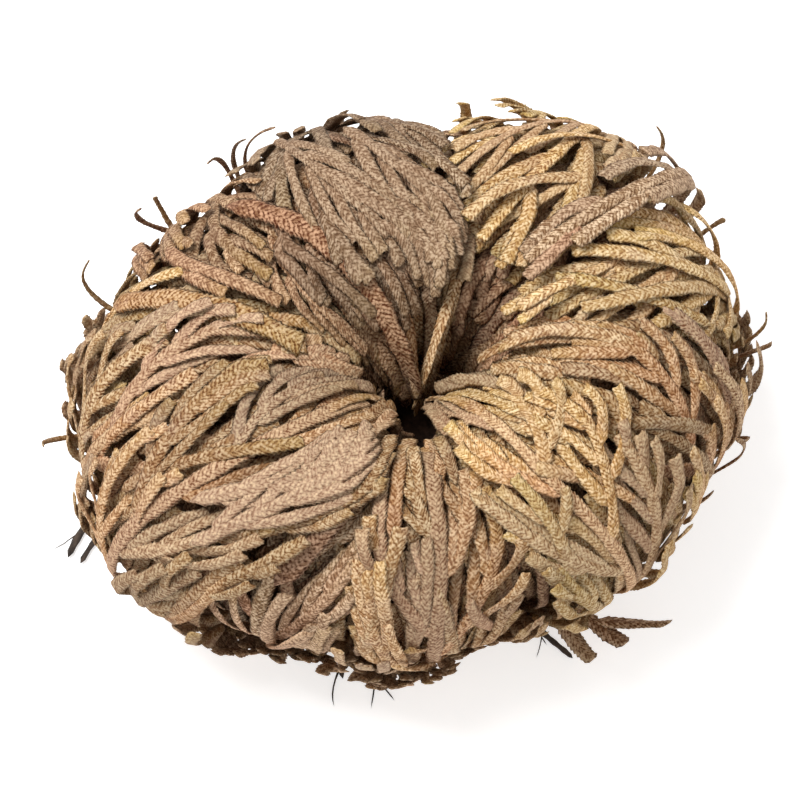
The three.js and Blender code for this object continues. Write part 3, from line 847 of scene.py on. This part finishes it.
# %% The outer fronds, one of them loose
OUTER_FRONDS, OUTER_FIRST = 14, 11  # how many, and where the first one stands
OUTER_STEP = 360 / OUTER_FRONDS
OUTER_REACH = (66, 56, 72, 52, 64, 58, 66, 56, 58, 52, 54, 58, 50, 56)
OUTER_SWEEP = (0.05, -0.08, 0.1, 0, -0.05)
# the outer fronds' light is raised to make up for the shade under the ball: painted light
OUTER_SPREAD, OUTER_FLARE, OUTER_LIGHT = 21, 3, 0.8
FLARE_FROM = 5  # degrees: every other frond flares, most at the back
# the loose frond's light is raised still more, for the shade it lies in: painted light
LOOSE_FROND, LOOSE_SPREAD, LOOSE_FLARE, LOOSE_LIGHT = 12, 10, 9, 1.0


def outer_frond(i):
    spread, light = OUTER_SPREAD, OUTER_LIGHT
    flare = 0.0 if i % 2 else OUTER_FLARE * max(0, np.sin(np.radians(OUTER_STEP * i - FLARE_FROM)))
    if i == LOOSE_FROND:
        spread, flare, light = LOOSE_SPREAD, LOOSE_FLARE, LOOSE_LIGHT
    azimuth, sweep = OUTER_FIRST + OUTER_STEP * i, OUTER_SWEEP[i % len(OUTER_SWEEP)]
    return frond_of("outer", i, azimuth, i % 2, OUTER_REACH[i], spread, sweep, "grey", light, flare=flare)


fronds = [outer_frond(i) for i in range(OUTER_FRONDS)]
print("outer fronds, length in mm:", [round(frond.length) for frond in fronds])

# %% The main fronds
MAIN_FRONDS = [  # azimuth, shell, reach, spread, sweep, material, light, sway
    (4, 5, 208, 28, 0.12, "tan", 0.52, 0.25),
    (25, 4, 196, 29, -0.1, "straw", 0.55, 0.35),
    (43, 2, 190, 9, 0.04, "grey", 0.85, 0.3),
    (63, 3, 190, 30, 0.16, "straw", 0.68, 0.45),
    (88, 4, 250, 26, -0.08, "tan", 0.35, 0.0),
    (112, 2, 214, 34, 0.05, "grey", 0.22, -0.4),
    (134, 3, 250, 23, 0, "russet", 0.45, -0.2),
    (151, 5, 208, 28, -0.14, "straw", 0.35, 0.3),
    (168, 4, 222, 29, 0.1, "straw", 0.4, -0.2),
    (188, 3, 222, 27, -0.08, "tan", 0.5, 0.15),
    (210, 2, 222, 34, 0.06, "tan", 0.38, 0.25),
    # this frond's light is raised to make up for the shade on its lower front: painted light
    (232, 4, 204, 27, -0.12, "grey", 0.95, 0.15),
    (254, 5, 202, 28, 0.1, "tan", 0.68, 0.1),
    (276, 3, 200, 28, 0.06, "tan", 0.42, -0.15),
    (300, 4, 204, 28, -0.1, "russet", 0.4, -0.1),
    (322, 2, 234, 34, 0.08, "straw", 0.46, 0.12),
    (346, 3, 214, 29, -0.08, "tan", 0.42, 0.15),
]
main_fronds = [frond_of("main", i, *row) for i, row in enumerate(MAIN_FRONDS)]
fronds += main_fronds
print("main fronds, length in mm:", [round(frond.length) for frond in main_fronds])

# %% The inner fronds and the heart
INNER_FRONDS, INNER_FIRST, INNER_STEP = 7, -38, 42  # how many, where the first one stands, and the next
INNER_SHELL, INNER_REACH, INNER_SPREAD = 6, 262, 38
INNERMOST_LIGHT = 0.3
HEART_FRONDS = 5
HEART_LENGTHS = (18, 15, 20)
HEART_DEPTH = 100  # deeper than all others, so that they are grown last


def inner_frond(i):
    azimuth, shell = INNER_FIRST + INNER_STEP * i, INNER_SHELL + i % 2
    return frond_of("inner", i, azimuth, shell, INNER_REACH, INNER_SPREAD, 0, "russet", INNERMOST_LIGHT)


def heart_frond(i):
    return SimpleNamespace(
        name=f"frond_heart_{i + 1:02d}",
        seed=300 + i,
        upright=True,
        azimuth=(i + 0.5) * 2 * np.pi / HEART_FRONDS,
        depth=HEART_DEPTH,
        length=HEART_LENGTHS[i % len(HEART_LENGTHS)],
        bare=3,
        pitch=4.5,
        sprig_length=6.5,
        forked=False,
        pinch=1.0,
        sweep=0.0,
        material="russet",
        light=INNERMOST_LIGHT,
    )


fronds += [inner_frond(i) for i in range(INNER_FRONDS)]
fronds += [heart_frond(i) for i in range(HEART_FRONDS)]
print("fronds:", len(fronds))

# %% [markdown]
# ## Giving every shoot its own looks
#
# Shoots differ a little in width and lie tilted like tiles. Their colour differs too: those of one spray are
# much alike, stems are redder than twigs and have more painted shade in the gaps between their leaves, and some
# shoots are greenish yellow at the tip. What `own` holds goes over all that.

# %% Looks of the shoots
NETS = ((0.6, 1.0), (0.1, 0.9), (0.0, 0.4))  # strength of the painted shade in the gaps between the leaves, on a stem, a sprig and a twig
LOOK_SEED, SPRAY_SEEDS = 9000, 1e6


def dress(frond, shoots):
    draw = seeded(frond.seed + LOOK_SEED)
    for shoot in shoots:
        order = min(shoot.order, 2)
        of_spray = seeded(int(shoot.spray * SPRAY_SEEDS))
        shoot.stout = draw(0.74, 1.04)
        shoot.roll = draw(-0.3, 0.3) * (1 if order else 0)
        shoot.tone = np.clip(frond.light + of_spray(-0.28, 0.28) + draw(-0.1, 0.1), 0, 1)
        shoot.warm = np.clip(of_spray(-0.3, 0.95) * draw(0.6, 1.2) * (1 - 0.2 * order), 0, 1)
        shoot.dusty = np.clip(of_spray(-0.8, 1.0) + draw(-0.2, 0.2), 0, 1)
        shoot.ripe = draw() ** 2
        shoot.net = [draw(*net) for net in NETS][order]
        vars(shoot).update(shoot.own)


trial = main_shoots(fronds[0])
for shoot in trial:
    shoot.spray, shoot.own = 0.5, {}
dress(fronds[0], trial)
print("tones on one frond:", [round(float(shoot.tone), 2) for shoot in trial[:6]])

# %% [markdown]
# ## Growing the fronds
#
# All is ready now. Each frond gets the shoots of its solid first, then what stands out on it, then its sprays,
# and last the lanes further in. One mesh holds the whole frond and takes the place of the solid of that name.
# All pieces ride on the root, because a dry plant is still.

# %% Grow the fronds
GROW_SEED = 5000


def add_piece(name, mesh, material, node):
    piece = bpy.data.objects.new(name, mesh)
    bpy.context.scene.collection.objects.link(piece)
    mesh.materials.append(material)
    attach(piece, "root")
    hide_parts(node)


def triangles(mesh):
    return sum(len(polygon.vertices) - 2 for polygon in mesh.polygons)


def grow(frond):
    shoots = main_shoots(frond)
    draw = seeded(frond.seed + GROW_SEED)
    for shoot in shoots:
        shoot.lift, shoot.over = draw(-0.2, 0.6) * (1 if shoot.order else 0), frond.pinch
        shoot.hidden, shoot.spray, shoot.own = False, draw(), {}
    if frond.upright:
        for sprig in shoots[1:]:
            sprig.sink += draw(-0.2, 0.2)
    else:
        frond.above = covered.copy()
        for shoot in shoots:
            cells = footprint(frond, shoot)
            shoot.hidden = is_hidden(frond, cells)
            covered[cells] += 1
        add_shown(frond, shoots, draw)
        add_sprays(frond, shoots, draw)
        add_lanes(frond, shoots, draw)
    dress(frond, shoots)
    mesh = leafy_mesh(frond.name + "_leafy", frond, shoots)
    add_piece(frond.name + "_leafy", mesh, LEAFY[frond.material], frond.name)
    return triangles(mesh)


grown = {frond.name: grow(frond) for frond in sorted(fronds, key=lambda frond: frond.depth)}
for kind in [*KINDS, "heart"]:
    print("most triangles in one", kind, "frond:", max(n for name, n in grown.items() if kind in name))
print("triangles of the fronds:", sum(grown.values()))

# %% [markdown]
# ## The rootstock
#
# In the middle of the hollow stands a short woody trunk. Its bark is ringed by the scars of old fronds and
# split along. A profile with many small steps is spun once round the axis, and then noise pushes each vertex
# in or out. That is simpler than carving, and the rings stay level as the scars do.

# %% Spin the trunk and roughen its bark
BARK_STEPS = 56  # round the trunk
BARK_STEP = 0.4  # up and down it
BARK_INSET, BARK_PLAY = -0.25, 0.25
SCAR_DEPTH, SCAR_STEP = 0.22, 1.7
SPLIT_DEPTH, SPLIT_ROUND, SPLIT_LONG = 0.3, 3.2, 0.12  # splits are narrow round the trunk and long up it
# share of the crown's radius, height above the trunk's foot
TRUNK = [(0, 0), (0.97, 0), (1, 3), (0.96, 8), (1, 13.1), (0.82, 15.1), (0.5, 16.1), (0, 16.1)]


def spun(name, profile, steps):
    bm = bmesh.new()
    line = [bm.verts.new((r * MM, 0, z * MM)) for r, z in profile]
    edges = [bm.edges.new(pair) for pair in zip(line, line[1:])]
    whole = {"cent": (0, 0, 0), "axis": (0, 0, 1), "angle": 2 * np.pi, "steps": steps, "use_merge": True}
    bmesh.ops.spin(bm, geom=line + edges, **whole)
    bmesh.ops.remove_doubles(bm, verts=bm.verts, dist=1e-6)
    bmesh.ops.recalc_face_normals(bm, faces=bm.faces)
    mesh = bpy.data.meshes.new(name)
    bm.to_mesh(mesh)
    bm.free()
    return mesh


def in_small_steps(corners, step):
    points = []
    for (r0, z0), (r1, z1) in zip(corners, corners[1:]):
        count = max(1, round(np.hypot(r1 - r0, z1 - z0) / step))
        points += [(r0 + (r1 - r0) * k / count, z0 + (z1 - z0) * k / count) for k in range(count)]
    return [*points, corners[-1]]


def roughen(mesh, push):
    """Moves every vertex away from the axis by the millimetres that push gives for its place."""
    for vertex in mesh.vertices:
        here = vertex.co / MM
        aside = Vector((here.x, here.y, 0))
        if aside.length > 0.5:
            vertex.co += aside.normalized() * push(here) * MM
    mesh.polygons.foreach_set("use_smooth", [True] * len(mesh.polygons))


def bark(here):
    theta = np.arctan2(here.y, here.x)
    scar = SCAR_DEPTH * np.sin(2 * np.pi * here.z / SCAR_STEP + 1.2 * np.sin(3 * theta))
    grain = Vector((SPLIT_ROUND * np.cos(theta), SPLIT_ROUND * np.sin(theta), here.z * SPLIT_LONG))
    split = SPLIT_DEPTH * abs(noise.noise(grain))
    return BARK_INSET + scar - split + BARK_PLAY * noise.noise(here * 0.9)


side_of_trunk = [(CROWN_RADIUS * share, ROOT_TOP + SEAT_GAP + height) for share, height in TRUNK]
trunk = spun("trunk", in_small_steps(side_of_trunk, BARK_STEP), BARK_STEPS)
roughen(trunk, bark)
print("trunk triangles:", triangles(trunk))


# %% Bark and root materials
def woody_material(name, light, dark, stretch):
    """Fibres along the wood: noise that is drawn out by stretch."""
    tree = Tree(name)
    drawn = tree.add("Mapping", {"Vector": tree.here(), "Scale": stretch}).outputs[0]
    fibre = tree.noise(900.0, 4.0, 0.65, drawn)
    patch = tree.noise(300.0)
    colour = tree.mix(tree.spread(fibre, 0.3, 0.65), linear(dark), linear(light))
    colour = tree.mix(tree.spread(patch, 0.45, 0.7, 0.0, 0.6), colour, linear(dark))
    normal = tree.bump(fibre, 0.7, 0.25 * MM)
    tree.feed(tree.shader, {"Base Color": colour, "Roughness": 0.9, "Normal": normal})
    return tree.material


dark_bark = woody_material("dark_bark", 0x5E4433, 0x241812, (1, 1, 0.5))
black_roots = woody_material("black_roots", 0x4E4137, 0x1B1512, (1, 1, 1))
add_piece("rootstock_bark", trunk, dark_bark, "rootstock")
print("woody materials:", dark_bark.name, black_roots.name)

# %% [markdown]
# ## The roots
#
# Wiry roots run out along the ground from a matted pad. Each is a tube rolled out of a grid as the shoots are,
# wrinkled lengthways and across, and finer ones branch off it until only hairs are left.

# %% The lines of the roots
ROOT_AROUND = 6  # vertices round a root
ROOT_LIE = 0.75  # height of the roots' middle lines
MAT_RADIUS = 11
LONG_ROOTS = [  # azimuth, reach, hook, half its width
    (170, 50.5, 23, 1.1),
    (186, 49, 8, 0.8),
    (240, 30.8, 2, 0.7),
    (248, 31, 4, 0.7),
    (262, 31, -7, 0.7),
    (312, 34, -4, 0.8),
]
SHORT_ROOTS, SHORT_HALF = 8, 0.8  # how many, and half their width
SHORT_REACH, SHORT_PLAY, SHORT_HOOK = 15, 9, 60  # shortest, how much longer others are, degrees of hook
ROOT_WANDER = 3  # degrees to each side
ROOT_SEED = 77


def short_root(i, draw):
    azimuth = 360 / SHORT_ROOTS * (i + 0.6 * draw())
    return azimuth, SHORT_REACH + SHORT_PLAY * draw(), SHORT_HOOK * (draw() - 0.5), SHORT_HALF


def root_line(azimuth, reach, hook, u):
    theta = np.radians(azimuth + hook * u**5 + ROOT_WANDER * np.sin(9 * u + azimuth))
    return polar(theta, reach * u, ROOT_LIE)


def tube_rows(line, radius, flatten=1.0):
    """A wrinkled tube along a line of points, with a radius for each of them."""
    ahead = np.gradient(line, axis=0)
    ahead /= np.linalg.norm(ahead, axis=1, keepdims=True)
    aside = np.cross(ahead, (0, 0, 1))
    aside /= np.linalg.norm(aside, axis=1, keepdims=True)
    up = np.cross(aside, ahead)
    angle = np.arange(ROOT_AROUND) * 2 * np.pi / ROOT_AROUND
    wrinkles = 0.12 * np.sin(np.arange(len(line)) * 1.9)[:, None]
    wide = radius[:, None] * (1 + wrinkles + 0.1 * np.sin(3 * angle))
    wide[0] = wide[-1] = 0
    across = aside[:, None] * (wide * np.cos(angle))[..., None]
    return line[:, None] + across + up[:, None] * (flatten * wide * np.sin(angle))[..., None]


draw = seeded(ROOT_SEED)
roots = [*LONG_ROOTS, *(short_root(i, draw) for i in range(SHORT_ROOTS))]
print("roots, reach in mm:", [round(reach, 1) for _, reach, _, _ in roots])

# %% Grow the roots and their hairs
ROOT_STEP, ROOT_TAPER, ROOT_FLAT = 0.55, 0.55, 0.62  # a root gets thinner by this share, and is this flat
ROOT_HAIRS, MAT_HAIRS = 5, 90  # on each root, and in the mat
HAIR_STEP, HAIR_TAPER, HAIR_LIE = 0.9, 0.6, 0.25
HAIR_SEED = 78


def hair(draw, start, theta, length, radius):
    """A fine root that wanders over the ground."""
    count = max(5, int(length / HAIR_STEP))
    turn, points = draw(-0.05, 0.05), [np.array(start)]
    for _ in range(count):
        turn += draw(-0.07, 0.07)
        theta += turn
        points.append(points[-1] + np.array([np.cos(theta), np.sin(theta), 0]) * length / count)
    line = np.array(points)
    u = np.linspace(0, 1, len(line))
    line[:, 2] = start[2] + (HAIR_LIE - start[2]) * smooth(0, 0.5, u) + 0.5 * draw() * np.sin(5 * u) ** 2
    return tube_rows(line, radius * (1 - HAIR_TAPER * u))


draw = seeded(HAIR_SEED)
tubes = []
for azimuth, reach, hook, half in roots:
    u = np.linspace(0.01, 1, int(reach / ROOT_STEP))
    tubes.append(tube_rows(root_line(azimuth, reach, hook, u), half * (1 - ROOT_TAPER * u), ROOT_FLAT))
    for _ in range(ROOT_HAIRS):
        at = root_line(azimuth, reach, hook, np.array([draw(0.45, 0.98)]))[0]
        tubes.append(hair(draw, at, np.radians(azimuth + draw(-55, 55)), draw(2.5, 6), draw(0.1, 0.2)))
for _ in range(MAT_HAIRS):
    theta = draw(0, 2 * np.pi)
    at = polar(np.array(theta), draw(3, MAT_RADIUS - 1), draw(0.5, 1.4))
    tubes.append(hair(draw, at, theta + draw(-1.4, 1.4), draw(6, 15), draw(0.12, 0.28)))
wires, *_ = rolled("roots_wires", tubes)
close_up(wires)
print("roots and hairs:", len(tubes))

# %% The matted pad, joined with the roots
PAD = [(0, 0), (9.9, 0), (MAT_RADIUS, 0.64), (8.25, ROOT_TOP), (0, ROOT_TOP)]  # radius, height
PAD_STEPS, PAD_STEP = 64, 0.7
PAD_INSET, PAD_PLAY = 0.3, 0.5

pad = spun("pad", in_small_steps(PAD, PAD_STEP), PAD_STEPS)
roughen(pad, lambda here: PAD_PLAY * noise.noise(here * 0.8) - PAD_INSET)
bm = bmesh.new()
bm.from_mesh(pad)
bm.from_mesh(wires)
bm.to_mesh(wires)
bm.free()
wires.polygons.foreach_set("use_smooth", [True] * len(wires.polygons))
add_piece("roots_wiry", wires, black_roots, "root_mat")
print("roots triangles:", triangles(wires))

# %% [markdown]
# ## Floor, light and camera
#
# The plant lies on a pale floor under a bright, even sky, which fills its shadows. One soft lamp high above
# it, a little to the left, gives the shoots their rounding. The camera looks steeply down on the plant, from
# far off and with a long lens, so that near and far parts keep their sizes.

# %% Camera, in metres
CAMERA_ELEVATION = np.radians(72)
CAMERA_DISTANCE = 1.0
PICTURE_WIDTH = 0.11  # what the picture spans at the plant
AIM_HEIGHT = 0.027
AIM_ASIDE = Vector((-2.5 * MM, 3.1 * MM))  # the picture's middle, right and up of the plant's axis


def add_camera():
    data = bpy.data.cameras.new("camera")
    data.lens = data.sensor_width * CAMERA_DISTANCE / PICTURE_WIDTH
    camera = bpy.data.objects.new("camera", data)
    back = Vector((0, -np.cos(CAMERA_ELEVATION), np.sin(CAMERA_ELEVATION)))
    up = Vector((0, np.sin(CAMERA_ELEVATION), np.cos(CAMERA_ELEVATION)))
    aim = Vector((0, 0, AIM_HEIGHT)) + Vector((1, 0, 0)) * AIM_ASIDE.x + up * AIM_ASIDE.y
    camera.location = aim + back * CAMERA_DISTANCE
    camera.rotation_euler = back.to_track_quat("Z", "Y").to_euler()
    bpy.context.scene.collection.objects.link(camera)
    bpy.context.scene.camera = camera
    return camera


print("lens, mm:", round(add_camera().data.lens))

# %% Floor and light, in metres
FLOOR_HALF = 3
PAPER, PAPER_GLOW = 0.76, 0.55  # the floor is light and glows a little, so that it shows nearly white
SKY_STRENGTH = 0.65
LAMP_SIZE, LAMP_ENERGY, LAMP_PLACE = 0.34, 8, (-0.27, 0.12, 0.86)


def add_floor():
    bm = bmesh.new()
    bmesh.ops.create_grid(bm, x_segments=1, y_segments=1, size=FLOOR_HALF)
    mesh = bpy.data.meshes.new("floor")
    bm.to_mesh(mesh)
    bm.free()
    tree = Tree("floor_paper")
    plain = {"Base Color": (PAPER, PAPER, PAPER, 1), "Roughness": 0.9}
    tree.feed(tree.shader, {**plain, "Emission Color": (1, 1, 1, 1), "Emission Strength": PAPER_GLOW})
    mesh.materials.append(tree.material)
    floor = bpy.data.objects.new("floor", mesh)
    bpy.context.scene.collection.objects.link(floor)


def add_lights():
    world = bpy.data.worlds.new("sky")
    world.use_nodes = True
    sky = world.node_tree.nodes["Background"].inputs
    sky["Color"].default_value = (1, 1, 1, 1)
    sky["Strength"].default_value = SKY_STRENGTH
    bpy.context.scene.world = world
    lamp = bpy.data.lights.new("key", "AREA")
    lamp.size, lamp.energy = LAMP_SIZE, LAMP_ENERGY
    key = bpy.data.objects.new("key", lamp)
    key.location = LAMP_PLACE
    key.rotation_euler = key.location.to_track_quat("Z", "Y").to_euler()
    bpy.context.scene.collection.objects.link(key)


add_floor()
add_lights()
bpy.context.scene.view_settings.view_transform = "Standard"
